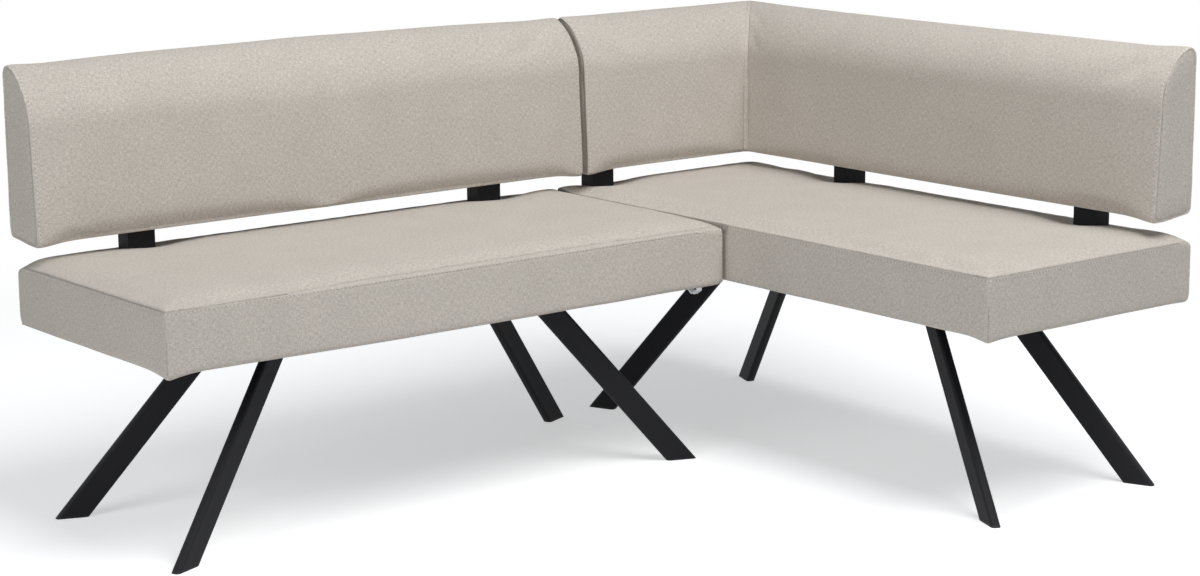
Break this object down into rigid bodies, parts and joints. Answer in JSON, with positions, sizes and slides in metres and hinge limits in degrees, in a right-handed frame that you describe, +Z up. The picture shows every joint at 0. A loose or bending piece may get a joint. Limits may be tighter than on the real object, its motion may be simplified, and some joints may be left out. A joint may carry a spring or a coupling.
{
  "type": "corner bench",
  "caption": "Upholstered L-shaped dining corner bench in greige fabric: straight and corner units with backrests on black posts and splayed flat-tube legs.",
  "frame": {"origin": "on the floor, under the middle of the bench's bounding box", "axes": "+X along the straight bench towards the corner, +Y towards the wall behind the straight bench, +Z up"},
  "size_m": [1.9199, 1.3339, 0.893],
  "materials": {
    "upholstery": "woven melange",
    "foam": "open-cell foam",
    "timber": "sawn",
    "plywood": "raw plywood",
    "dust_cloth": "non-woven",
    "powder_coat": "satin powder coat",
    "foot_plastic": "matte",
    "zinc_plate": "bright zinc"
  },
  "bodies": {
    "root": {"connector_jaws": "zinc_plate", "connector_pin": "zinc_plate", "connector_screws": "zinc_plate", "connector_tongue": "zinc_plate", "corner_back_cover_long_wing": "upholstery", "corner_back_cover_short_wing": "upholstery", "corner_back_foam_long_wing": "foam", "corner_back_foam_short_wing": "foam", "corner_back_frame_long_wing": "plywood", "corner_back_frame_short_wing": "plywood", "corner_back_post_far": "powder_coat", "corner_back_post_near": "powder_coat", "corner_back_post_short_wing": "powder_coat", "corner_dust_cloth": "dust_cloth", "corner_foot_cap_front_left": "foot_plastic", "corner_foot_cap_front_right": "foot_plastic", "corner_foot_cap_rear_left": "foot_plastic", "corner_foot_cap_rear_right": "foot_plastic", "corner_leg_board_1": "plywood", "corner_leg_board_2": "plywood", "corner_leg_bolts": "zinc_plate", "corner_leg_front_left": "powder_coat", "corner_leg_front_right": "powder_coat", "corner_leg_rear_left": "powder_coat", "corner_leg_rear_right": "powder_coat", "corner_post_bolts": "zinc_plate", "corner_seat_cover": "upholstery", "corner_seat_deck": "plywood", "corner_seat_end_rail_1": "timber", "corner_seat_end_rail_2": "timber", "corner_seat_foam": "foam", "corner_seat_front_rail": "timber", "corner_seat_rear_rail": "timber", "straight_back_cover": "upholstery", "straight_back_foam": "foam", "straight_back_frame": "plywood", "straight_back_post_left": "powder_coat", "straight_back_post_right": "powder_coat", "straight_dust_cloth": "dust_cloth", "straight_foot_cap_front_left": "foot_plastic", "straight_foot_cap_front_right": "foot_plastic", "straight_foot_cap_rear_left": "foot_plastic", "straight_foot_cap_rear_right": "foot_plastic", "straight_leg_board_1": "plywood", "straight_leg_board_2": "plywood", "straight_leg_bolts": "zinc_plate", "straight_leg_front_left": "powder_coat", "straight_leg_front_right": "powder_coat", "straight_leg_rear_left": "powder_coat", "straight_leg_rear_right": "powder_coat", "straight_post_bolts": "zinc_plate", "straight_seat_cover": "upholstery", "straight_seat_deck": "plywood", "straight_seat_end_rail_1": "timber", "straight_seat_end_rail_2": "timber", "straight_seat_foam": "foam", "straight_seat_front_rail": "timber", "straight_seat_rear_rail": "timber"}
  },
  "joints": []
}
